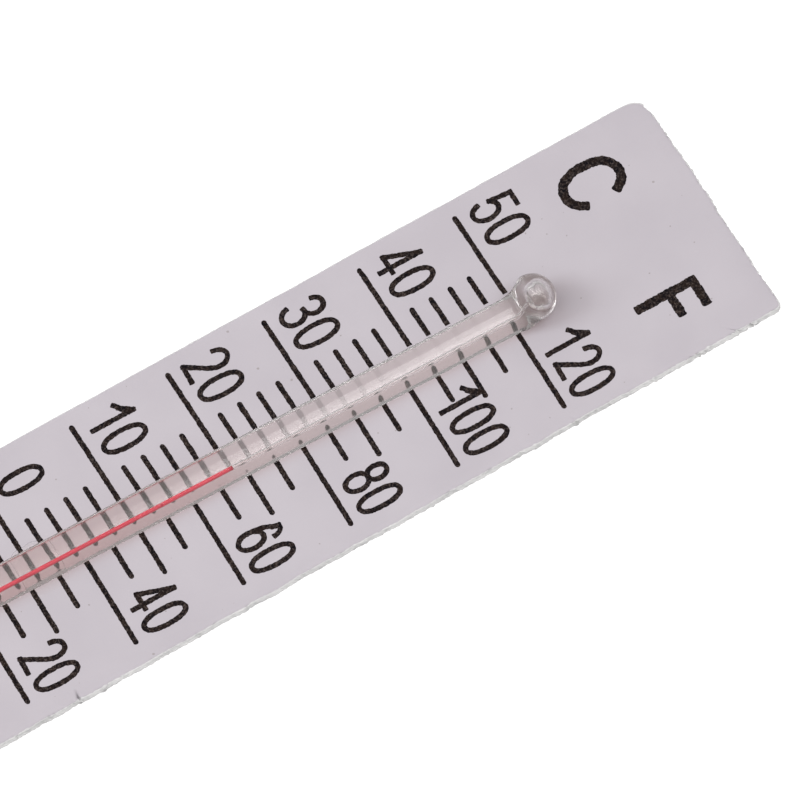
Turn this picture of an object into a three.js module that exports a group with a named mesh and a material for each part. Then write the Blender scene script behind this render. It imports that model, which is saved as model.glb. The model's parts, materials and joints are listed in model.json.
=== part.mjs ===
// Card-mounted spirit thermometer: a printed board with a sealed glass capillary glued to its face.
// Millimetres, +Z up. The board lies on its back on z = 0, its long side runs along X and the top
// of the scale points to +X. The Celsius side is +Y and the Fahrenheit side is -Y.
// The origin is the centre of the board's back face.
import * as THREE from "three";
import { mergeVertices } from "three/addons/utils/BufferGeometryUtils.js";

// ---- driving dimensions -------------------------------------------------------------------------

// Board, cut a little out of parallel, so each corner has its own place.
const boardLength = 132;
const boardThickness = 1.1;
const boardBulbEnd = { upper: 13.65, lower: -14.05 };
const boardTopEnd = { upper: 14.05, lower: -13.05 };
const cornerRadius = 0.7;
const softCornerRadius = 2.6;

// Scale, which sets where the thread stands.
const mmPerDegree = 1.1;
const zeroDegreesX = -12;
const restTemperature = 20;

// Glass. The stem has a flat oval section, rolled a little about its axis so that its wide face
// looks towards the Fahrenheit side. The axis runs to the tip at a small angle to the board.
const sectionWide = 1.92;
const sectionHigh = 1.05;
const sectionRoll = 0.32;
const boreRadius = 0.23;
const boreOffset = -0.39;
const stemStart = new THREE.Vector3(-53, 1.144, boardThickness + 1.35);
const stemEnd = new THREE.Vector3(42.6, -0.56, boardThickness + 1.5);
const joinGap = 0.06;

// Bulb, blown round from the lower end of the stem, so it stands higher than the stem.
const bulbLength = 10;
const bulbRadius = 1.95;
const bulbWall = 0.45;
const bulbLift = { y: 0, z: 0.8 };
const neckBoreRadius = 1.2;
const neckLength = 1.2;

// Sealed tip, a melted knob round a small hollow that the bore opens into.
const knobRadius = 2.38;
const knobCentreX = 1.9;
const knobLift = { y: 0.3, z: 1.0 };
const hollowRadius = 1.45;
const hollowMouthRadius = 1.2;

// Spirit.
const threadRadius = 0.21;
const spiritGap = 0.08;
const meniscusLength = 8;

// Clear adhesive dabs, at their distance from the stem's lower end.
const adhesiveLength = 4.4;
const adhesiveGap = 0.05;
const adhesiveFoot = { upper: 3.1, lower: -2.6 };
const adhesiveReach = 25;
const adhesiveStations = { adhesive_lower: 7, adhesive_middle: 41.6 };

// Facets.
const stemSides = 64;
const boreSides = 24;
const latheSides = 40;

// ---- helpers ------------------------------------------------------------------------------------

const stemLength = stemStart.distanceTo(stemEnd);

function finish(roughness, color, extra = {}) {
  return new THREE.MeshStandardMaterial({ color, roughness, metalness: 0, ...extra });
}

const boardFinish = finish(0.85, 0xe6e2e6);
const glassFinish = finish(0.05, 0xf4f4f2, { transparent: true, opacity: 0.35 });
const spiritFinish = finish(0.15, 0xd8283c);
const adhesiveFinish = finish(0.12, 0xf2f0e8, { transparent: true, opacity: 0.4 });

// One closed mesh from a geometry: only positions, with shared corners merged.
function closedMesh(name, geometry, material) {
  geometry.deleteAttribute("normal");
  geometry.deleteAttribute("uv");
  const mesh = new THREE.Mesh(mergeVertices(geometry, 1e-4), material);
  mesh.geometry.computeVertexNormals();
  mesh.name = name;
  return mesh;
}

// Extrudes a shape drawn in the Y, Z plane along +X.
function extrudeAlongX(shape, length) {
  const geometry = new THREE.ExtrudeGeometry(shape, { depth: length, bevelEnabled: false });
  const turn = new THREE.Matrix4().makeBasis(
    new THREE.Vector3(0, 1, 0),
    new THREE.Vector3(0, 0, 1),
    new THREE.Vector3(1, 0, 0),
  );
  return geometry.applyMatrix4(turn);
}

// Turns a profile of (radius, x) points about the X axis.
function latheAlongX(profile) {
  const points = profile.map(([radius, x]) => new THREE.Vector2(radius, x));
  return new THREE.LatheGeometry(points, latheSides).rotateZ(-Math.PI / 2);
}

// Points on an arc in (radius, x), from one angle to another; the angle is measured from +X.
function arc(centreX, radius, from, to, steps) {
  const points = [];
  for (let i = 0; i <= steps; i += 1) {
    const angle = from + ((to - from) * i) / steps;
    const onAxis = Math.abs(Math.sin(angle)) < 1e-9;
    points.push([onAxis ? 0 : radius * Math.sin(angle), centreX + radius * Math.cos(angle)]);
  }
  return points;
}

// An oval in the Y, Z plane; a circle where both radii are the same.
function ovalPoints(radiusY, radiusZ, centreY, sides, clockwise = false) {
  return Array.from({ length: sides }, (_, i) => {
    const angle = ((clockwise ? -1 : 1) * 2 * Math.PI * i) / sides;
    return new THREE.Vector2(centreY + radiusY * Math.cos(angle), radiusZ * Math.sin(angle));
  });
}

// Turns (y, z) about the stem's axis by an angle.
function turned({ y, z }, angle) {
  return {
    y: y * Math.cos(angle) - z * Math.sin(angle),
    z: y * Math.sin(angle) + z * Math.cos(angle),
  };
}

// Changes a round lathed end into the stem's oval where it meets the stem, and lifts it as it
// grows round, between the two places given along X.
function meetStem(geometry, ovalX, roundX, lift) {
  const rise = turned(lift, -sectionRoll);
  const position = geometry.getAttribute("position");
  for (let i = 0; i < position.count; i += 1) {
    const along = (position.getX(i) - ovalX) / (roundX - ovalX);
    const share = THREE.MathUtils.smoothstep(along, 0, 1);
    const flatness = THREE.MathUtils.lerp(sectionHigh / sectionWide, 1, share);
    position.setY(i, position.getY(i) + rise.y * share);
    position.setZ(i, position.getZ(i) * flatness + rise.z * share);
  }
  return geometry;
}

// ---- board --------------------------------------------------------------------------------------

function makeBoard() {
  const half = boardLength / 2;
  const corners = [
    { x: -half, y: boardBulbEnd.lower, r: cornerRadius },
    { x: half, y: boardTopEnd.lower, r: cornerRadius },
    { x: half, y: boardTopEnd.upper, r: softCornerRadius },
    { x: -half, y: boardBulbEnd.upper, r: cornerRadius },
  ];
  const shape = new THREE.Shape();
  corners.forEach((corner, i) => {
    const here = new THREE.Vector2(corner.x, corner.y);
    const before = corners[(i + 3) % 4];
    const after = corners[(i + 1) % 4];
    const towards = (other) =>
      new THREE.Vector2(other.x, other.y).sub(here).normalize().multiplyScalar(corner.r).add(here);
    const arrive = towards(before);
    const leave = towards(after);
    if (i === 0) shape.moveTo(arrive.x, arrive.y);
    else shape.lineTo(arrive.x, arrive.y);
    shape.quadraticCurveTo(here.x, here.y, leave.x, leave.y);
  });
  shape.closePath();
  const geometry = new THREE.ExtrudeGeometry(shape, {
    depth: boardThickness,
    bevelEnabled: false,
    curveSegments: 6,
  });
  return closedMesh("board", geometry, boardFinish);
}

// ---- glass, in a frame whose +X is the stem's axis and whose origin is the stem's lower end ------

function makeStem() {
  const shape = new THREE.Shape(ovalPoints(sectionWide, sectionHigh, 0, stemSides));
  shape.holes.push(new THREE.Path(ovalPoints(boreRadius, boreRadius, boreOffset, boreSides, true)));
  return closedMesh("stem", extrudeAlongX(shape, stemLength), glassFinish);
}

function blowBulb(geometry) {
  return meetStem(geometry, -joinGap, -3 * neckLength, bulbLift);
}

function makeBulb() {
  const outside = bulbRadius;
  const inside = bulbRadius - bulbWall;
  const neckX = -joinGap;
  const profile = [
    [neckBoreRadius, neckX],
    [neckBoreRadius, neckX - neckLength],
    [inside, neckX - 2 * neckLength],
    [inside, neckX - 3 * neckLength],
    ...arc(-bulbLength + outside, inside, Math.PI / 2, Math.PI, 8),
    ...arc(-bulbLength + outside, outside, Math.PI, Math.PI / 2, 8),
    [outside, neckX - 3 * neckLength],
    [outside, neckX - 2 * neckLength],
    [sectionWide, neckX - neckLength],
    [sectionWide, neckX - neckLength / 2],
    [sectionWide, neckX],
    [neckBoreRadius, neckX],
  ];
  return closedMesh("bulb", blowBulb(latheAlongX(profile)), glassFinish);
}

function makeTip() {
  const mouthX = joinGap;
  const shoulder = Math.asin(sectionWide / knobRadius);
  const hollowMouth = Math.asin(hollowMouthRadius / hollowRadius);
  const profile = [
    [hollowMouthRadius, mouthX],
    [sectionWide, mouthX],
    ...arc(knobCentreX, knobRadius, Math.PI - shoulder, 0, 20),
    ...arc(knobCentreX, hollowRadius, 0, Math.PI - hollowMouth, 14),
    [hollowMouthRadius, mouthX],
  ];
  const geometry = meetStem(latheAlongX(profile), mouthX, knobCentreX, knobLift);
  const tip = closedMesh("tip", geometry, glassFinish);
  tip.position.x = stemLength;
  return tip;
}

// ---- spirit -------------------------------------------------------------------------------------

// Where the thread's top stands at rest, measured along the stem's axis from its lower end.
const threadTopX = zeroDegreesX + restTemperature * mmPerDegree;
const threadTop = ((threadTopX - stemStart.x) * stemLength) / (stemEnd.x - stemStart.x);

function makeBulbSpirit() {
  const radius = bulbRadius - bulbWall - spiritGap;
  const neckRadius = neckBoreRadius - spiritGap;
  const topX = -joinGap - spiritGap;
  const profile = [
    [0, topX],
    [neckRadius, topX],
    [neckRadius, topX - neckLength],
    [radius, topX - 2 * neckLength],
    [radius, topX - 3 * neckLength],
    ...arc(-bulbLength + bulbRadius, radius, Math.PI / 2, Math.PI, 8),
  ];
  return closedMesh("bulb_spirit", blowBulb(latheAlongX(profile.reverse())), spiritFinish);
}

function makeThreadPiece(name, fromX, toX) {
  const shape = new THREE.Shape(ovalPoints(threadRadius, threadRadius, boreOffset, boreSides));
  const piece = closedMesh(name, extrudeAlongX(shape, toX - fromX), spiritFinish);
  piece.position.x = fromX;
  return piece;
}

// ---- adhesive -----------------------------------------------------------------------------------

// A saddle under the stem: flat foot on the board, its top hollowed to the stem's outside. It
// reaches up both sides of the stem to an angle below its wide axis, in degrees.
function makeAdhesive(name, station) {
  const boardZ = boardThickness + adhesiveGap;
  const axisZ = THREE.MathUtils.lerp(stemStart.z, stemEnd.z, station / stemLength);
  const foot = boardZ - axisZ;
  const shape = new THREE.Shape();
  shape.moveTo(adhesiveFoot.lower, foot);
  shape.lineTo(adhesiveFoot.upper, foot);
  for (let degrees = adhesiveReach; degrees <= 180 - adhesiveReach; degrees += 5) {
    const angle = -THREE.MathUtils.degToRad(degrees);
    const seat = turned(
      {
        y: (sectionWide + adhesiveGap) * Math.cos(angle),
        z: (sectionHigh + adhesiveGap) * Math.sin(angle),
      },
      sectionRoll,
    );
    shape.lineTo(seat.y, seat.z);
  }
  shape.closePath();
  const dab = closedMesh(name, extrudeAlongX(shape, adhesiveLength), adhesiveFinish);
  dab.position.x = station - adhesiveLength / 2;
  return dab;
}

// ---- assembly -----------------------------------------------------------------------------------

const glassFrame = new THREE.Group();
const axisRun = stemEnd.clone().sub(stemStart);
glassFrame.position.copy(stemStart);
glassFrame.rotation.order = "ZYX";
glassFrame.rotation.z = Math.atan2(axisRun.y, axisRun.x);
glassFrame.rotation.y = -Math.asin(axisRun.z / axisRun.length());
glassFrame.add(
  ...Object.entries(adhesiveStations).map(([name, station]) => makeAdhesive(name, station)),
);

const rolledGlass = new THREE.Group();
rolledGlass.rotation.x = sectionRoll;
rolledGlass.add(
  makeStem(),
  makeBulb(),
  makeTip(),
  makeBulbSpirit(),
  makeThreadPiece("spirit_thread", 0, threadTop - meniscusLength - joinGap),
  makeThreadPiece("meniscus", threadTop - meniscusLength, threadTop),
);
glassFrame.add(rolledGlass);

const thermometer = new THREE.Group();
thermometer.add(makeBoard(), glassFrame);

export default thermometer;
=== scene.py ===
"""A card-mounted glass thermometer: printed board, sealed glass, red spirit and adhesive."""
import json
import math

import bpy
import numpy as np
from mathutils import Matrix, Vector, noise


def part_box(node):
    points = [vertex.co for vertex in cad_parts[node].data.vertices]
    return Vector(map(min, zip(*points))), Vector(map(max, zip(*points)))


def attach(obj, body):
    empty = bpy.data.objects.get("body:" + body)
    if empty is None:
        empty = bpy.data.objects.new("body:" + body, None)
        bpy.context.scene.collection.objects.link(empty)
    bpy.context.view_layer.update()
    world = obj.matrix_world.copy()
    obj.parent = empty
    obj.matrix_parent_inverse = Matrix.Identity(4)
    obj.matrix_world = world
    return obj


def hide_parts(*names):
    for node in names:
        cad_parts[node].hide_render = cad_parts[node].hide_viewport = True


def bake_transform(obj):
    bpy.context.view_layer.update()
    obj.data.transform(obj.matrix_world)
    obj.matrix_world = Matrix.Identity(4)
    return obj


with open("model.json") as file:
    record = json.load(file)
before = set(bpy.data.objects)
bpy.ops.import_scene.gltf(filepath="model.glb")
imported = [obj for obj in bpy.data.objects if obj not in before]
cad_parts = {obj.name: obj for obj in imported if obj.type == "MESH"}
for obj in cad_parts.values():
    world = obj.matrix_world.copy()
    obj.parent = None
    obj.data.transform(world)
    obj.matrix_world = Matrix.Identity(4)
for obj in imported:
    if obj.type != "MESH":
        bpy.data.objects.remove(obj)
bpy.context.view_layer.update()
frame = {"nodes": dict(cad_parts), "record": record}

MM = 0.001
ROOT = "mounted_glass"
THREAD_TOP = "thread_top"

# ---- places taken from the frame ----------------------------------------------------------------

FACE_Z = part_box("board")[1].z
JOINT = frame["record"]["behaviour"]["joints"][0]
AXIS = Vector(JOINT["axis"]).normalized()


def node_points(node):
    """The CAD node's vertices at rest, as an array."""
    return np.array([vertex.co for vertex in frame["nodes"][node].data.vertices])


def along_axis(node):
    """How far the node reaches along the stem's axis, from the row's origin."""
    reach = node_points(node) @ np.array(AXIS)
    return reach.min(), reach.max()


ROLL = 0.32  # the stem's flat oval section is turned this much about its axis
STEM_LOW, STEM_HIGH = along_axis("stem")
STEM_LENGTH = STEM_HIGH - STEM_LOW
STEM_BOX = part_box("stem")
STEM_MIDDLE = (STEM_BOX[0] + STEM_BOX[1]) / 2
STEM_START = STEM_MIDDLE - AXIS * STEM_LENGTH / 2
SIDE = Vector((0, 0, 1)).cross(AXIS).normalized()
UP = AXIS.cross(SIDE)
FLAT_FRAME = Matrix.Translation(STEM_START) @ Matrix((AXIS, SIDE, UP)).transposed().to_4x4()
GLASS_FRAME = FLAT_FRAME @ Matrix.Rotation(ROLL, 4, "X")

THREAD_END = (along_axis("spirit_thread")[1] - STEM_LOW) / MM
MENISCUS_START, MENISCUS_END = [(reach - STEM_LOW) / MM for reach in along_axis("meniscus")]
BULB_END = (along_axis("bulb")[0] - STEM_LOW) / MM
TIP_END = (along_axis("tip")[1] - STEM_LOW) / MM
STEM_MM = STEM_LENGTH / MM

# ---- driving sizes, in millimetres --------------------------------------------------------------

STEM_HALF_WIDTH = 1.92
STEM_HALF_HEIGHT = 1.05
BORE_RADIUS = 0.20
BORE_Y = -0.39
BULB_RADIUS = 1.95
BULB_WALL = 0.45
BULB_NECK = 3.6  # the length over which the stem turns into the bulb
BULB_LIFT = (0.0, 0.8)  # y and z of the bulb's middle above the stem's, in the board's frame
KNOB_RADIUS = 2.38
KNOB_LIFT = (0.3, 1.0)
KNOB_X = TIP_END - KNOB_RADIUS
KNOB_FROM_STEM = KNOB_X - STEM_MM
BUBBLE_X = KNOB_X + 0.6
BUBBLE_LONG = 0.85
BUBBLE_WIDE = 1.15
WETTED = 0.006  # how far the spirit is drawn into the glass, so that it wets it
THREAD_START = -4.0
# The thread is squeezed to almost nothing at the lowest poses, where it folds over itself along its
# own axis. Starting the blend this far down keeps the folded part inside the bulb at the lowest.
OVERLAP = 0.12  # of the thread and its moving top
DIP = 0.1  # the depth of the thread's hollow top surface
GLASS_SIDES = 128
HOLLOW_SIDES = 40
THREAD_SIDES = 24

# The print, in the board's plane: x from the zero Celsius mark, y from the print's own middle.
ZERO_X = -12.0
PRINT_Y = 0.1
PER_DEGREE = 1.1
TICK_WIDTH = 0.56
TICK_LEAN = 0.0122
FAHRENHEIT_SHIFT = 0.06
INK_HEIGHT = 0.018
INK_SUNK = 0.01
# In the photograph the Celsius ticks fade under the glass. The cause is not known, so the ink's
# colour fades by place instead: in a strip along the stem, between two heights above zero.
FADE_FROM = 15
FADE_TO = 42
FADE_MOST = 0.97
FADE_MIDDLE_Y = 1.2
FADE_REACH = 1.15  # half the strip's width
FACE_COLOUR = (0.540, 0.497, 0.536, 1)
CELSIUS = {"inner": 0.25, "short": 5.74, "long": 12.05}
FAHRENHEIT = {"inner": -0.75, "short": -5.15, "medium": -6.4, "long": -11.36}

# ---- mesh helpers -------------------------------------------------------------------------------


def add_piece(name, vertices, faces, material, body=ROOT, replaces=(), smooth=True):
    """A new piece from vertices in metres. It rides on a body unless body is None."""
    mesh = bpy.data.meshes.new(name)
    mesh.from_pydata([tuple(v) for v in vertices], [], faces)
    mesh.validate()
    mesh.polygons.foreach_set("use_smooth", [smooth] * len(mesh.polygons))
    mesh.materials.append(material)
    mesh.update()
    piece = bpy.data.objects.new(name, mesh)
    bpy.context.scene.collection.objects.link(piece)
    if replaces:
        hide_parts(*replaces)
    if body:
        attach(piece, body)
    return piece


class MeshParts:
    """Collects closed solids for one piece."""

    def __init__(self):
        self.vertices = []
        self.faces = []

    def add(self, vertices, faces):
        first = len(self.vertices)
        self.vertices.extend(vertices)
        self.faces.extend([tuple(first + i for i in face) for face in faces])


def wobble(x, y=0.0, z=0.0):
    """Smooth repeatable noise, about -0.7 to 0.7."""
    return noise.noise(Vector((x, y, z)))


# ---- materials ----------------------------------------------------------------------------------


class Shader:
    """Small helper round one material's node tree."""

    def __init__(self, name):
        self.material = bpy.data.materials.new(name)
        self.material.use_nodes = True
        self.tree = self.material.node_tree
        self.surface = self.tree.nodes["Principled BSDF"]
        self.output = self.tree.nodes["Material Output"]
        self.place = self.node("ShaderNodeTexCoord").outputs["Object"]

    def node(self, kind, **inputs):
        made = self.tree.nodes.new(kind)
        for name, value in inputs.items():
            self.set(made.inputs[name.replace("_", " ")], value)
        return made

    def set(self, socket, value):
        if isinstance(value, bpy.types.NodeSocket):
            self.tree.links.new(value, socket)
        else:
            socket.default_value = value

    def noise(self, size_mm, detail=2.0, roughness=0.5, stretch=(1, 1, 1)):
        """Noise with features of about size_mm."""
        scaled = self.node("ShaderNodeMapping", Vector=self.place)
        scaled.inputs["Scale"].default_value = [s / (size_mm * MM) for s in stretch]
        texture = self.node("ShaderNodeTexNoise", Vector=scaled.outputs[0], Scale=1.0)
        texture.inputs["Detail"].default_value = detail
        texture.inputs["Roughness"].default_value = roughness
        return texture.outputs["Fac"]

    def ramp(self, value, low, high, from_value=0.0, to_value=1.0):
        made = self.node("ShaderNodeMapRange", Value=value)
        made.inputs["From Min"].default_value = low
        made.inputs["From Max"].default_value = high
        made.inputs["To Min"].default_value = from_value
        made.inputs["To Max"].default_value = to_value
        return made.outputs["Result"]

    def mix(self, share, first, second):
        made = self.tree.nodes.new("ShaderNodeMix")
        made.data_type = "RGBA"
        self.set(made.inputs[0], share)
        self.set(made.inputs[6], first)
        self.set(made.inputs[7], second)
        return made.outputs[2]

    def math(self, operation, first, second=0.0):
        made = self.tree.nodes.new("ShaderNodeMath")
        made.operation = operation
        self.set(made.inputs[0], first)
        self.set(made.inputs[1], second)
        return made.outputs[0]

    def bump(self, height, distance_mm, strength):
        made = self.node("ShaderNodeBump", Height=height)
        made.inputs["Strength"].default_value = strength
        made.inputs["Distance"].default_value = distance_mm * MM
        self.set(self.surface.inputs["Normal"], made.outputs[0])

    def finish(self, **sockets):
        for name, value in sockets.items():
            self.set(self.surface.inputs[name.replace("_", " ")], value)
        return self.material

    def let_light_through(self, colour):
        """Shadow and diffuse rays pass as through a coloured filter, and are not refracted.
        The renderer's own way leaves what lies under the glass too dark."""
        path = self.node("ShaderNodeLightPath")
        clear = self.node("ShaderNodeBsdfTransparent", Color=colour)
        mixed = self.tree.nodes.new("ShaderNodeMixShader")
        lighting = self.math("MAXIMUM", path.outputs["Is Shadow Ray"], path.outputs["Is Diffuse Ray"])
        self.set(mixed.inputs[0], lighting)
        self.set(mixed.inputs[1], self.surface.outputs[0])
        self.set(mixed.inputs[2], clear.outputs[0])
        self.set(self.output.inputs["Surface"], mixed.outputs[0])


def board_material():
    """Matt coated paperboard: faintly mottled face, whiter fibrous core at the cut edges."""
    s = Shader("paperboard")
    mottle = s.noise(9, detail=3)
    grain = s.noise(0.22, detail=4, roughness=0.65)
    fibres = s.noise(0.9, detail=3, stretch=(0.25, 1.6, 1))
    face = s.mix(s.ramp(mottle, 0.35, 0.65), FACE_COLOUR, (0.572, 0.528, 0.566, 1))
    face = s.mix(s.ramp(grain, 0.3, 0.7, 0, 0.10), face, (0.46, 0.44, 0.48, 1))
    speck = s.math("GREATER_THAN", s.noise(0.55, detail=0), 0.86)
    face = s.mix(s.math("MULTIPLY", speck, 0.5), face, (0.26, 0.22, 0.20, 1))
    core = s.mix(s.ramp(fibres, 0.3, 0.7), (0.70, 0.69, 0.69, 1), (0.86, 0.85, 0.84, 1))
    height = s.tree.nodes.new("ShaderNodeSeparateXYZ")
    s.set(height.inputs[0], s.place)
    cut = s.ramp(height.outputs["Z"], FACE_Z - 0.06 * MM, FACE_Z - 0.015 * MM, 1.0, 0.0)
    colour = s.mix(cut, face, core)
    s.bump(s.math("ADD", s.math("MULTIPLY", grain, 0.5), fibres), 0.02, 0.35)
    return s.finish(Base_Color=colour, Roughness=0.78, Specular_IOR_Level=0.25)


def ink_material():
    """Screen-printed ink: near black, a little brown, with thin spots, and faded under the glass."""
    s = Shader("printed_ink")
    thin = s.noise(0.2, detail=3, roughness=0.7)
    brown = s.noise(0.45, detail=2)
    colour = s.mix(s.ramp(brown, 0.35, 0.65), (0.005, 0.004, 0.006, 1), (0.018, 0.011, 0.009, 1))
    colour = s.mix(s.ramp(thin, 0.50, 0.66, 0, 0.62), colour, (0.13, 0.10, 0.09, 1))
    place = s.tree.nodes.new("ShaderNodeSeparateXYZ")
    s.set(place.inputs[0], s.place)
    along = s.ramp(
        place.outputs["X"], (ZERO_X + FADE_FROM) * MM, (ZERO_X + FADE_TO) * MM, 0.0, FADE_MOST
    )
    off_middle = s.math("ABSOLUTE", s.math("SUBTRACT", place.outputs["Y"], FADE_MIDDLE_Y * MM))
    in_strip = s.math("LESS_THAN", off_middle, FADE_REACH * MM)
    colour = s.mix(s.math("MULTIPLY", along, in_strip), colour, FACE_COLOUR)
    s.bump(thin, 0.01, 0.6)
    return s.finish(Base_Color=colour, Roughness=0.85, Specular_IOR_Level=0.08)


def glass_material():
    """Glass whose surface is very slightly uneven. Real glass is clear: the tint, the matt share
    and the light filter are set so that it looks as it does in the photograph."""
    s = Shader("clear_glass")
    s.bump(s.noise(3.0, detail=1, stretch=(0.3, 1, 1)), 0.004, 0.5)
    place = s.tree.nodes.new("ShaderNodeSeparateXYZ")
    s.set(place.inputs[0], s.place)
    # Lighting rays through the knob pass a much darker filter than through the stem, which deepens the
    # shadow the knob casts beyond what its glass would cast.
    knob_x = (GLASS_FRAME @ Vector((STEM_MM * MM, 0, 0))).x
    in_knob = s.ramp(place.outputs["X"], knob_x - 1.0 * MM, knob_x + 1.0 * MM)
    s.let_light_through(s.mix(in_knob, (0.93, 0.885, 0.87, 1), (0.54, 0.47, 0.45, 1)))
    # The glass's colour is painted light and shade: darker and warmer than clear glass, which paints
    # shade on what is seen through it, and pinker towards the bulb, which paints the reflection of the
    # red spirit.
    past_spirit_reflection = s.ramp(place.outputs["X"], (ZERO_X + 4) * MM, (ZERO_X + 32) * MM)
    colour = s.mix(past_spirit_reflection, (0.92, 0.84, 0.83, 1), (0.95, 0.93, 0.925, 1))
    return s.finish(Base_Color=colour, Roughness=0.15, IOR=1.5, Transmission_Weight=0.945)


def spirit_material():
    """Dyed spirit: a strong red that stays bright in a thin bore."""
    s = Shader("red_spirit")
    depth = s.noise(2.5, detail=1)
    colour = s.mix(s.ramp(depth, 0.3, 0.7), (0.78, 0.035, 0.075, 1), (0.66, 0.02, 0.055, 1))
    s.let_light_through((0.95, 0.80, 0.80, 1))
    return s.finish(Base_Color=colour, Roughness=0.25)


def adhesive_material():
    """Clear adhesive, a touch yellow, with its skin a little uneven."""
    s = Shader("clear_adhesive")
    s.bump(s.noise(0.8, detail=2), 0.05, 0.4)
    s.let_light_through((0.99, 0.985, 0.98, 1))
    return s.finish(
        Base_Color=(0.995, 0.99, 0.985, 1), Roughness=0.1, IOR=1.12, Transmission_Weight=1.0
    )


BOARD = board_material()
INK = ink_material()
GLASS = glass_material()
SPIRIT = spirit_material()
ADHESIVE = adhesive_material()

# ---- board --------------------------------------------------------------------------------------

EDGE_STEP = 0.14
CELSIUS_EDGE_WEAR = 0.35
TOP_EDGE_WEAR = 1.5


def board_outline():
    """The CAD board's outline, evenly stepped: points and outward normals, in millimetres."""
    corners = node_points("board")
    corners = np.unique(np.round(corners[corners[:, 2] > FACE_Z / 2][:, :2] / MM, 4), axis=0)
    middle = corners.mean(axis=0)
    turn = np.arctan2(*(corners - middle).T[::-1])
    corners = corners[np.argsort(turn)]
    closed = np.vstack([corners, corners[:1]])
    run = np.r_[0, np.cumsum(np.hypot(*np.diff(closed, axis=0).T))]
    steps = np.linspace(0, run[-1], int(run[-1] / EDGE_STEP), endpoint=False)
    points = np.stack([np.interp(steps, run, closed[:, k]) for k in (0, 1)], axis=1)
    ahead = np.roll(points, -3, axis=0) - np.roll(points, 3, axis=0)
    normals = np.stack([ahead[:, 1], -ahead[:, 0]], axis=1)
    return points, normals / np.hypot(*normals.T)[:, None]


def make_board():
    points, normals = board_outline()
    half_length, half_width = np.abs(points).max(axis=0)
    thickness = FACE_Z / MM
    count = len(points)

    def ragged(x, y, level):
        """How far the cut edge is torn back at a place, in millimetres."""
        cut = 0.10 * wobble(x / 7, y / 7, 1.3) + 0.10 * wobble(x / 1.6, y / 1.6, 4.1)
        tuft = max(0.0, wobble(x / 0.9, y / 0.9, 9.0) - 0.1)
        fibre = (0.10 + 0.35 * tuft) * wobble(x / 0.3, y / 0.3, level * 1.7)
        return max(0.0, 0.14 + cut + fibre)

    # Each ring: how far inside the cut, its height, and how much of the raggedness it takes.
    rings = [(1.6, thickness, 0.0), (0.45, thickness, 0.3), (0.24, thickness - 0.012, 0.8),
             (0.12, thickness - 0.07, 1.0), (0.03, thickness - 0.17, 1.1)]
    layers = 6
    for i in range(1, layers):
        rings.append((0.0, (thickness - 0.2) * (1 - i / layers) + 0.05, 1.0 + 0.5 * (i % 2)))
    rings += [(0.05, 0.04, 1.0), (0.18, 0.0, 1.0), (1.6, 0.0, 0.0)]
    vertices = []
    for level, (inset, height, share) in enumerate(rings):
        for (x, y), (nx, ny) in zip(points, normals):
            wear = CELSIUS_EDGE_WEAR if ny > 0.5 else TOP_EDGE_WEAR if nx > 0.5 else 1.0
            back = share * ragged(x, y, level) * wear
            inner_x = x * (1 - inset / half_length) - nx * back
            inner_y = y * (1 - inset / half_width) - ny * back
            vertices.append((inner_x * MM, inner_y * MM, height * MM))
    faces = []
    for level in range(len(rings) - 1):
        for i in range(count):
            j = (i + 1) % count
            upper, lower = level * count, (level + 1) * count
            faces.append((upper + i, lower + i, lower + j, upper + j))
    faces.append(tuple(range(count)))
    last = (len(rings) - 1) * count
    faces.append(tuple(last + i for i in reversed(range(count))))
    board = add_piece("printed_board", vertices, faces, BOARD, replaces=("board",))
    board.data.polygons[len(faces) - 1].use_smooth = False
    board.data.polygons[len(faces) - 2].use_smooth = False


# ---- print --------------------------------------------------------------------------------------

STROKE_STEP = 0.07
SHARP_TURN = 0.55  # the cosine of the least turn that counts as a corner
END_STATIONS = 5


def split_at_corners(path):
    """Cuts a path where it turns sharply, so that each run keeps its full width up to the corner."""
    runs = [[path[0]]]
    for i in range(1, len(path)):
        runs[-1].append(path[i])
        if i == len(path) - 1:
            break
        arrive = np.subtract(path[i], path[i - 1])
        leave = np.subtract(path[i + 1], path[i])
        turn = np.dot(arrive, leave) / (np.linalg.norm(arrive) * np.linalg.norm(leave) + 1e-12)
        if turn < SHARP_TURN:
            runs.append([path[i]])
    return runs


def smooth_path(points, closed=False):
    """Evenly stepped points along straight runs between the given ones."""
    points = np.array(points, float)
    if closed:
        points = np.vstack([points, points[:1]])
    run = np.r_[0, np.cumsum(np.hypot(*np.diff(points, axis=0).T))]
    count = max(3, int(run[-1] / STROKE_STEP))
    steps = np.linspace(0, run[-1], count, endpoint=not closed)
    return np.stack([np.interp(steps, run, points[:, k]) for k in (0, 1)], axis=1)


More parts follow.
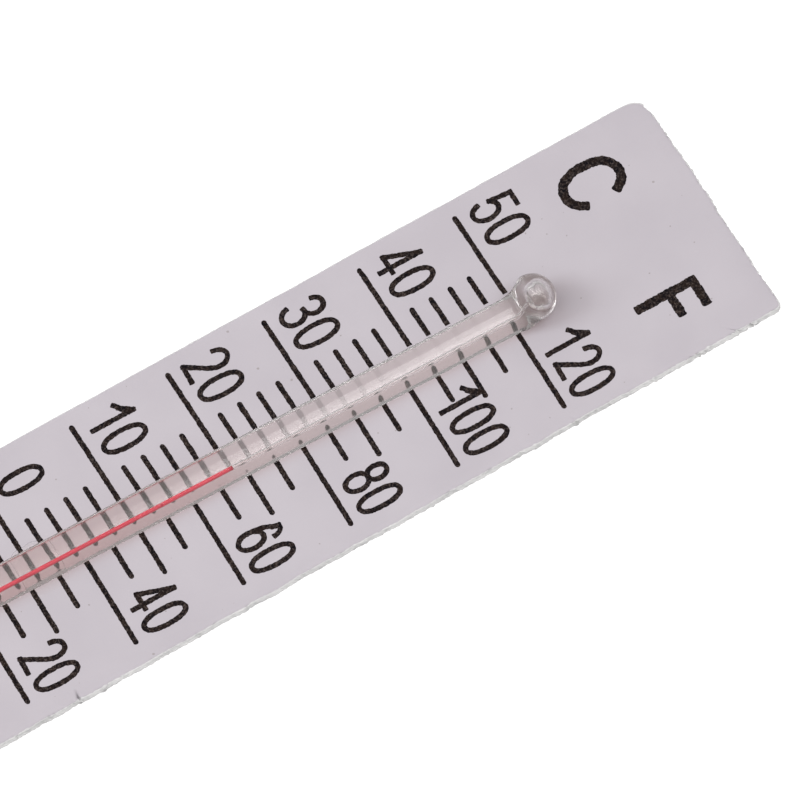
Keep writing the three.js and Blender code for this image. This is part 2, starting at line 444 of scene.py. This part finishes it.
def stroke(parts, path, width, closed=False, seed=0.0, square=False):
    """A raised line of ink along a path in the board's plane, with uneven sides, round or square."""
    path = smooth_path(path, closed)
    if closed:
        ahead = np.roll(path, -1, axis=0) - np.roll(path, 1, axis=0)
    else:
        ahead = np.gradient(path, axis=0)
    ahead /= np.maximum(np.hypot(*ahead.T), 1e-9)[:, None]
    half = np.full(len(path), width / 2)
    if not closed:
        # More stations past each end, each narrower than the one before.
        ends = np.sin(np.linspace(0, math.pi / 2, END_STATIONS + 1))[1:]
        power = 14 if square else 2
        half_end = width / 2 * np.sqrt(np.maximum(1 - ends**power, 0.004))
        head = path[0] - ahead[0] * (ends * width / 2)[:, None]
        tail = path[-1] + ahead[-1] * (ends * width / 2)[:, None]
        path = np.vstack([head[::-1], path, tail])
        repeats = (END_STATIONS, 1)
        ahead = np.vstack([np.tile(ahead[0], repeats), ahead, np.tile(ahead[-1], repeats)])
        half = np.r_[half_end[::-1], half, half_end]
    side = np.stack([-ahead[:, 1], ahead[:, 0]], axis=1)
    base = FACE_Z / MM - INK_SUNK
    top = FACE_Z / MM + INK_HEIGHT + 0.002 * (seed % 1)
    vertices = []
    for (x, y), (sx, sy), reach in zip(path, side, half):
        left, right = [
            reach * (1 + 0.14 * wobble(x / 0.5, y / 0.5, way) + 0.16 * wobble(x / 0.2, y / 0.2, way))
            for way in (seed, seed + 9)
        ]
        for out, z in ((left, base), (left - 0.02, top), (-right + 0.02, top), (-right, base)):
            vertices.append(((x + sx * out) * MM, (y + sy * out) * MM, z * MM))
    count = len(path)
    faces = []
    for i in range(count if closed else count - 1):
        a, b = 4 * i, 4 * ((i + 1) % count)
        for k in range(4):
            m = (k + 1) % 4
            faces.append((a + k, a + m, b + m, b + k))
    if not closed:
        faces.append((3, 2, 1, 0))
        end = 4 * (count - 1)
        faces.append((end, end + 1, end + 2, end + 3))
    parts.add(vertices, faces)


def oval(centre_x, centre_y, radius_x, radius_y, start=0, stop=360, power=2.0):
    """Points on an oval, in degrees anticlockwise from the right; a higher power is squarer."""
    count = max(8, int(abs(stop - start) / 7))
    points = []
    for angle in np.radians(np.linspace(start, stop, count)):
        c, s = math.cos(angle), math.sin(angle)
        points.append((
            centre_x + radius_x * math.copysign(abs(c) ** (2 / power), c),
            centre_y + radius_y * math.copysign(abs(s) ** (2 / power), s),
        ))
    return points


# Each glyph is drawn in a box 1 wide and 1 high, as a list of (path, closed).
GLYPHS = {
    "0": [(oval(0.5, 0.5, 0.5, 0.5, 0, 350, 2.3), True)],
    "1": [([(0.04, 0.68), (0.38, 0.79), (0.74, 1.0)], False), ([(0.34, 0.75), (0.74, 0.88)], False),
          ([(0.76, 1.0), (0.76, 0.0)], False)],
    "2": [(oval(0.5, 0.73, 0.48, 0.27, 172, -25)
           + [(0.80, 0.50), (0.04, 0.02), (1.0, 0.0)], False)],
    "3": [(oval(0.48, 0.77, 0.44, 0.23, 165, -72) + [(0.42, 0.53)], False),
          (oval(0.48, 0.27, 0.52, 0.27, 80, -165), False)],
    "4": [([(0.72, 1.0), (0.0, 0.235), (1.0, 0.235)], False), ([(0.72, 1.0), (0.72, 0.0)], False)],
    "5": [([(0.92, 1.0), (0.18, 1.0), (0.08, 0.50)]
           + oval(0.48, 0.31, 0.50, 0.31, 128, -160), False)],
    "6": [(oval(0.53, 0.78, 0.40, 0.22, 8, 100) + oval(0.75, 0.33, 0.74, 0.62, 122, 176), False),
          (oval(0.5, 0.30, 0.49, 0.30, 0, 350, 2.1), True)],
    "8": [(oval(0.5, 0.77, 0.42, 0.23, 0, 350), True), (oval(0.5, 0.275, 0.5, 0.275, 0, 350), True)],
    "-": [([(0.1, 0.5), (0.75, 0.5)], False)],
    "C": [(oval(0.52, 0.5, 0.52, 0.5, 38, 325, 2.2), False)],
    "F": [([(0.06, 0.0), (0.06, 1.0), (0.98, 1.0)], False), ([(0.06, 0.55), (0.90, 0.55)], False)],
}


def on_board(x, y):
    """From the print's own frame to the board's."""
    return ZERO_X + x, PRINT_Y + y


def write(parts, text, foot_x, left_y, width, height, pitch, ink, seed):
    """Writes text whose feet stand at foot_x and which reads towards -Y, as seen with +X up."""
    for place, glyph in enumerate(text):
        for number, (path, closed) in enumerate(GLYPHS[glyph]):
            placed = []
            for u, v in path:
                x = foot_x + ink / 2 + v * (height - ink)
                y = left_y - ink / 2 - u * (width - ink) - place * pitch
                placed.append(on_board(x, y))
            runs = [placed] if closed else split_at_corners(placed)
            for order, run in enumerate(runs):
                phase = seed + place * 1.7 + number * 0.37 + order * 0.11
                stroke(parts, run, ink, closed, phase, square=True)


def make_celsius():
    ticks, numerals = MeshParts(), MeshParts()
    for degrees in range(-30, 51, 2):
        row = "long" if degrees % 10 == 0 else "short"
        ends = [CELSIUS[row] - TICK_WIDTH / 2, CELSIUS["inner"]]
        path = [on_board(degrees * PER_DEGREE - TICK_LEAN * y, y) for y in ends]
        stroke(ticks, path, TICK_WIDTH, seed=degrees * 0.31)
    width, height, pitch, ink = 2.42, 5.14, 2.74, 0.57
    middle, above_mark = 9.5, 1.2
    for degrees in range(-30, 51, 10):
        text = str(degrees)
        reach = width + (len(text) - 1) * pitch
        foot = degrees * PER_DEGREE + above_mark
        write(numerals, text, foot, middle + reach / 2, width, height, pitch, ink, degrees + 0.5)
    add_piece("celsius_ticks", ticks.vertices, ticks.faces, INK, smooth=False)
    add_piece("celsius_numerals", numerals.vertices, numerals.faces, INK, smooth=False)


def make_fahrenheit():
    ticks, numerals = MeshParts(), MeshParts()
    for degrees in range(-20, 121, 5):
        row = "long" if degrees % 20 == 0 else "medium" if degrees % 10 == 0 else "short"
        x = (degrees - 32) / 1.8 * PER_DEGREE + FAHRENHEIT_SHIFT
        ends = [FAHRENHEIT["inner"], FAHRENHEIT[row] + TICK_WIDTH / 2]
        path = [on_board(x + TICK_LEAN * y, y) for y in ends]
        stroke(ticks, path, TICK_WIDTH, seed=degrees * 0.17 + 40)
    width, height, pitch, ink = 2.26, 5.14, 2.56, 0.57
    right_end, above_mark = -11.35, 1.15
    for degrees in range(-20, 121, 20):
        text = str(degrees)
        reach = width + (len(text) - 1) * pitch
        left = right_end + reach
        if degrees == 0:
            left += pitch / 2
        foot = (degrees - 32) / 1.8 * PER_DEGREE + above_mark
        write(numerals, text, foot, left, width, height, pitch, ink, degrees + 300.5)
    add_piece("fahrenheit_ticks", ticks.vertices, ticks.faces, INK, smooth=False)
    add_piece("fahrenheit_numerals", numerals.vertices, numerals.faces, INK, smooth=False)


def make_letters():
    letters = MeshParts()
    write(letters, "C", 64.95, 10.65, 5.0, 7.2, 0, 1.02, 3.3)
    write(letters, "F", 65.0, -5.35, 3.8, 7.1, 0, 1.0, 5.1)
    add_piece("scale_letters", letters.vertices, letters.faces, INK, smooth=False)


# ---- glass and spirit ---------------------------------------------------------------------------


def ease(value, low, high):
    """0 below low, 1 above high, smooth between."""
    t = min(max((value - low) / (high - low), 0.0), 1.0)
    return t * t * (3 - 2 * t)


def rolled(lift):
    """A shift given in the board's frame, as (y, z) in the glass frame."""
    c, s = math.cos(ROLL), math.sin(ROLL)
    return lift[0] * c + lift[1] * s, -lift[0] * s + lift[1] * c


def section_at(x):
    """The stem is oval and both its ends are blown round and higher.
    Gives how round the glass is at x, 0 to 1, and its middle (y, z)."""
    at_bulb = ease(-x, 0.0, BULB_NECK)
    at_knob = ease(x, STEM_MM, STEM_MM + KNOB_FROM_STEM)
    bulb_y, bulb_z = rolled(BULB_LIFT)
    knob_y, knob_z = rolled(KNOB_LIFT)
    middle_y = bulb_y * at_bulb + knob_y * at_knob
    middle_z = bulb_z * at_bulb + knob_z * at_knob
    return at_bulb + at_knob, middle_y, middle_z


def loft(rings, sides, flip=False):
    """A closed shell through ovals: each ring is (x, y, z, radius y, radius z) in the glass frame,
    in mm. The first and the last have no radius: there the shell comes to a point."""
    vertices = [rings[0][:3]]
    faces = []
    for x, y, z, radius_y, radius_z in rings[1:-1]:
        for k in range(sides):
            angle = 2 * math.pi * k / sides
            vertices.append((x, y + radius_y * math.cos(angle), z + radius_z * math.sin(angle)))
    vertices.append(rings[-1][:3])
    count = len(rings) - 2
    end = 1 + (count - 1) * sides
    for k in range(sides):
        m = (k + 1) % sides
        faces.append((0, 1 + m, 1 + k))
        for ring in range(count - 1):
            a, b = 1 + ring * sides, 1 + (ring + 1) * sides
            faces.append((a + k, a + m, b + m, b + k))
        faces.append((end + k, end + m, len(vertices) - 1))
    if flip:
        faces = [tuple(reversed(face)) for face in faces]
    placed = [GLASS_FRAME @ (Vector(v) * MM) for v in vertices]
    return placed, faces


def glass_ring(x, radius, swell=0.0):
    """A ring of the glass whose wide radius is given; its other radius follows the section."""
    roundness, y, z = section_at(x)
    flat = STEM_HALF_HEIGHT / STEM_HALF_WIDTH
    radius_z = radius * (flat + (1 - flat) * roundness)
    return x, y, z, radius + (swell if radius else 0), radius_z + (swell if radius else 0)


def outside_rings():
    """The outside of the glass from the bulb's end to the knob's end."""
    rings = [glass_ring(BULB_END, 0)]
    centre = BULB_END + BULB_RADIUS
    for angle in np.radians(np.arange(6, 91, 6)):
        x = centre - BULB_RADIUS * math.cos(angle)
        rings.append(glass_ring(x, BULB_RADIUS * math.sin(angle)))
    for x in np.arange(centre + 0.4, -3.8, 0.4):
        rings.append(glass_ring(x, BULB_RADIUS))
    for x in np.arange(-3.6, 1.61, 0.15):
        waist = 0.12 * math.exp(-((x + 0.2) / 0.7) ** 2)
        widening = (BULB_RADIUS - STEM_HALF_WIDTH) * ease(-x, 1, 3)
        rings.append(glass_ring(x, STEM_HALF_WIDTH + widening - waist))
    for x in np.arange(2.4, STEM_MM - 1.6, 1.2):
        rings.append(glass_ring(x, STEM_HALF_WIDTH + 0.008 * wobble(x / 9, 2.0)))
    shoulder = math.radians(112)
    shoulder_x = KNOB_X + KNOB_RADIUS * math.cos(shoulder)
    shoulder_radius = KNOB_RADIUS * math.sin(shoulder)
    for x in np.arange(STEM_MM - 1.4, shoulder_x - 0.05, 0.12):
        swell = (shoulder_radius - STEM_HALF_WIDTH) * ease(x, STEM_MM - 0.8, shoulder_x + 0.25)
        rings.append(glass_ring(x, STEM_HALF_WIDTH + swell))
    for angle in np.linspace(shoulder, math.radians(4), 24):
        x = KNOB_X + KNOB_RADIUS * math.cos(angle)
        rings.append(glass_ring(x, KNOB_RADIUS * math.sin(angle)))
    rings.append(glass_ring(TIP_END, 0))
    return rings


def bore_ring(x, radius, swell=0.0):
    return x, BORE_Y, 0, radius + swell, radius + swell


def mixed_ring(first, second, share):
    """A ring between two others."""
    return tuple(a + (b - a) * share for a, b in zip(first, second))


def reservoir_rings(swell=0.0):
    """The bulb's inside and its neck, as far as the bore."""
    inner = BULB_RADIUS - BULB_WALL
    low = BULB_END + BULB_WALL
    centre = low + inner
    rings = [glass_ring(low - swell, 0)]
    for angle in np.radians(np.arange(8, 91, 8)):
        rings.append(glass_ring(centre - inner * math.cos(angle), inner * math.sin(angle), swell))
    for x in np.arange(centre + 0.5, -2.9, 0.5):
        rings.append(glass_ring(x, inner, swell))
    for x in np.arange(-2.7, 0.01, 0.15):
        narrow = ease(x, -2.7, -0.2)
        rings.append(mixed_ring(glass_ring(x, inner, swell), bore_ring(x, BORE_RADIUS, swell), narrow))
    return rings


def inside_rings():
    """The whole hollow: the bulb's inside, the bore, and the small bubble in the tip."""
    rings = reservoir_rings()
    bubble_start = BUBBLE_X - BUBBLE_LONG
    for x in np.arange(1.0, STEM_MM - 0.6, 1.5):
        rings.append(bore_ring(x, BORE_RADIUS))
    _, knob_y, knob_z = section_at(KNOB_X)
    for x in np.arange(STEM_MM - 0.5, bubble_start, 0.15):
        share = ease(x, STEM_MM - 0.5, bubble_start + 0.2)
        y = BORE_Y + (knob_y - 0.35 - BORE_Y) * share
        radius = BORE_RADIUS * (1 - 0.25 * share)
        rings.append((x, y, (knob_z - 0.2) * share, radius, radius))
    last = rings[-1]
    for angle in np.radians(np.arange(168, 4, -8)):
        x = BUBBLE_X + BUBBLE_LONG * math.cos(angle)
        radius = BUBBLE_WIDE * math.sin(angle)
        share = ease(x, last[0], last[0] + 0.35)
        bubble = (x, knob_y - 0.1, knob_z, radius, radius)
        neck = (x, *last[1:])
        rings.append(mixed_ring(neck, bubble, share) if radius > last[3] else bubble)
    rings.append((BUBBLE_X + BUBBLE_LONG, knob_y - 0.1, knob_z, 0, 0))
    return rings


def make_glass():
    parts = MeshParts()
    parts.add(*loft(outside_rings(), GLASS_SIDES))
    parts.add(*loft(inside_rings(), HOLLOW_SIDES, flip=True))
    add_piece("sealed_glass", parts.vertices, parts.faces, GLASS,
              replaces=("stem", "bulb", "tip"))


def make_spirit():
    radius = BORE_RADIUS + WETTED
    # Fill of the bulb.
    fill = [ring for ring in reservoir_rings(WETTED) if ring[0] < -0.25]
    fill.append(bore_ring(-0.2, 0))
    vertices, faces = loft(fill, HOLLOW_SIDES)
    add_piece("spirit_in_bulb", vertices, faces, SPIRIT, replaces=("bulb_spirit",))
    # Thread, which starts in the bulb and stretches with its top.
    end = THREAD_END + OVERLAP
    thread = [bore_ring(THREAD_START - 0.05, 0)]
    thread += [bore_ring(x, radius) for x in np.linspace(THREAD_START, end, 160)]
    thread.append(bore_ring(end + 0.01, 0))
    vertices, faces = loft(thread, THREAD_SIDES)
    piece = add_piece("red_thread", vertices, faces, SPIRIT, body=None,
                      replaces=("spirit_thread",))
    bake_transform(piece)
    # Top of the thread, with its hollow surface. It starts thinner, inside the thread.
    top = [bore_ring(MENISCUS_START, 0), bore_ring(MENISCUS_START + 0.005, 0.9 * radius)]
    top.append(bore_ring(end - 0.004, 0.9 * radius))
    top += [bore_ring(x, radius) for x in np.linspace(end, MENISCUS_END, 14)]
    for share in (0.85, 0.65, 0.4, 0.2):
        top.append(bore_ring(MENISCUS_END - DIP * (1 - share**2), radius * share))
    top.append(bore_ring(MENISCUS_END - DIP, 0))
    vertices, faces = loft(top, THREAD_SIDES)
    add_piece("thread_top_column", vertices, faces, SPIRIT, body=THREAD_TOP,
              replaces=("meniscus",))


# ---- adhesive -----------------------------------------------------------------------------------


def stem_underside(y):
    """The height of the stem's lower side over y, in the flat frame, or None beside it."""
    c, s = math.cos(ROLL), math.sin(ROLL)
    a2, b2 = (STEM_HALF_WIDTH - 0.1) ** 2, (STEM_HALF_HEIGHT - 0.1) ** 2
    # (y c + z s)^2 / a^2 + (z c - y s)^2 / b^2 = 1, solved for the lower z.
    qa = s * s / a2 + c * c / b2
    qb = 2 * y * s * c * (1 / a2 - 1 / b2)
    qc = y * y * (c * c / a2 + s * s / b2) - 1
    inside = qb * qb - 4 * qa * qc
    return None if inside <= 0 else (-qb - math.sqrt(inside)) / (2 * qa)


def make_adhesive(node, name, seed):
    """A low clear dab that wets the board and climbs both sides of the stem."""
    low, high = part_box(node)
    local = FLAT_FRAME.inverted() @ ((low + high) / 2)
    length = (high.x - low.x) / MM
    middle_x = local.x / MM
    foot_z = (FACE_Z - STEM_START.z - AXIS.z * local.x) / MM
    stations = 33
    around = 37
    vertices, faces = [], []
    for i in range(stations):
        t = -1 + 2 * i / (stations - 1)
        x = middle_x + t * length / 2
        swell = math.sqrt(max(1 - abs(t) ** 2.4, 0.0))
        # How far it reaches to either side of the stem's middle, and how high, in millimetres.
        upper = 1.75 + 1.3 * swell * (1 + 0.2 * wobble(x / 1.1, seed))
        lower = 1.65 + 0.85 * swell * (1 + 0.2 * wobble(x / 1.1, seed + 5))
        climb = 0.12 + 0.95 * swell * (1 + 0.2 * wobble(x / 1.3, seed + 8))
        for k in range(around):
            s = -1 + 2 * k / (around - 1)
            y = (upper if s > 0 else lower) * s
            crown = foot_z + 0.012 + climb * (1 - abs(s) ** 1.7)
            under = stem_underside(y)
            z = crown if under is None else min(crown, under)
            vertices.append((x, y, max(z, foot_z + 0.012)))
    top = len(vertices)
    vertices += [(x, y, foot_z - 0.02) for x, y, _ in vertices]
    for i in range(stations - 1):
        for k in range(around - 1):
            a = i * around + k
            b = a + around
            faces.append((a + 1, b + 1, b, a))
            faces.append((top + a, top + b, top + b + 1, top + a + 1))
    for i in range(stations - 1):
        for k, turn in ((0, False), (around - 1, True)):
            a = i * around + k
            face = (a, a + around, top + a + around, top + a)
            faces.append(tuple(reversed(face)) if turn else face)
    for k in range(around - 1):
        for i, turn in ((0, False), (stations - 1, True)):
            a = i * around + k
            face = (a + 1, a, top + a, top + a + 1)
            faces.append(tuple(reversed(face)) if turn else face)
    placed = [FLAT_FRAME @ (Vector(v) * MM) for v in vertices]
    add_piece(name, placed, faces, ADHESIVE, replaces=(node,))


# ---- stage --------------------------------------------------------------------------------------

CAMERA_TARGET = Vector((28.16 * MM, -2.14 * MM, FACE_Z))
CAMERA_DISTANCE = 1.14367
CAMERA_TILT = math.radians(23.118)
CAMERA_TURN = math.radians(30.841)
LENS_MM = 522.05
SENSOR_MM = 36


def make_camera():
    back = Vector((
        -math.sin(CAMERA_TURN) * math.sin(CAMERA_TILT),
        -math.cos(CAMERA_TURN) * math.sin(CAMERA_TILT),
        math.cos(CAMERA_TILT),
    ))
    data = bpy.data.cameras.new("camera")
    data.lens = LENS_MM
    data.sensor_width = SENSOR_MM
    data.clip_end = 10
    camera = bpy.data.objects.new("camera", data)
    camera.location = CAMERA_TARGET + back * CAMERA_DISTANCE
    camera.rotation_euler = back.to_track_quat("Z", "Y").to_euler()
    bpy.context.scene.collection.objects.link(camera)
    bpy.context.scene.camera = camera


def soft_light(name, place, target, size, size_y, power):
    data = bpy.data.lights.new(name, "AREA")
    data.shape = "RECTANGLE"
    data.size = size
    data.size_y = size_y
    data.energy = power
    light = bpy.data.objects.new(name, data)
    light.location = place
    light.rotation_euler = (Vector(place) - Vector(target)).to_track_quat("Z", "Y").to_euler()
    bpy.context.scene.collection.objects.link(light)


def make_stage():
    half = 1.5
    mesh = bpy.data.meshes.new("floor")
    corners = [(-half, -half), (half, -half), (half, half), (-half, half)]
    mesh.from_pydata([(x, y, -0.02 * MM) for x, y in corners], [], [(0, 1, 2, 3)])
    s = Shader("pale_floor")
    path = s.node("ShaderNodeLightPath")
    seen = s.math("MAXIMUM", path.outputs["Is Camera Ray"], path.outputs["Is Diffuse Ray"])
    # Brighter to the camera than to the glass: the ground is white and the glass's sides are not.
    glow = s.math("MULTIPLY", seen, 0.75)
    mesh.materials.append(s.finish(
        Base_Color=(0.65, 0.65, 0.65, 1), Roughness=0.9, Emission_Color=(1, 1, 1, 1),
        Emission_Strength=glow,
    ))
    floor = bpy.data.objects.new("floor", mesh)
    bpy.context.scene.collection.objects.link(floor)
    world = bpy.data.worlds.new("studio")
    world.use_nodes = True
    world.node_tree.nodes["Background"].inputs["Color"].default_value = (1, 1, 1, 1)
    world.node_tree.nodes["Background"].inputs["Strength"].default_value = 0.3
    bpy.context.scene.world = world
    middle = (0.02, 0, 0)
    soft_light("key_softbox", (-0.52, 0.20, 0.44), middle, 0.30, 0.30, 2.2)
    soft_light("fill_softbox", (-0.30, 0.0, 0.75), middle, 0.60, 0.60, 1.9)
    soft_light("streak_softbox", (0.312, -0.11, 0.62), (0.312, -0.11, 0), 0.40, 0.38, 1.9)
    bpy.context.scene.view_settings.view_transform = "Standard"
    bpy.context.scene.cycles.caustics_reflective = False
    bpy.context.scene.cycles.caustics_refractive = False


make_board()
make_celsius()
make_fahrenheit()
make_letters()
make_glass()
make_spirit()
make_adhesive("adhesive_middle", "adhesive_dab_middle", 2.0)
make_adhesive("adhesive_lower", "adhesive_dab_lower", 7.0)
make_camera()
make_stage()
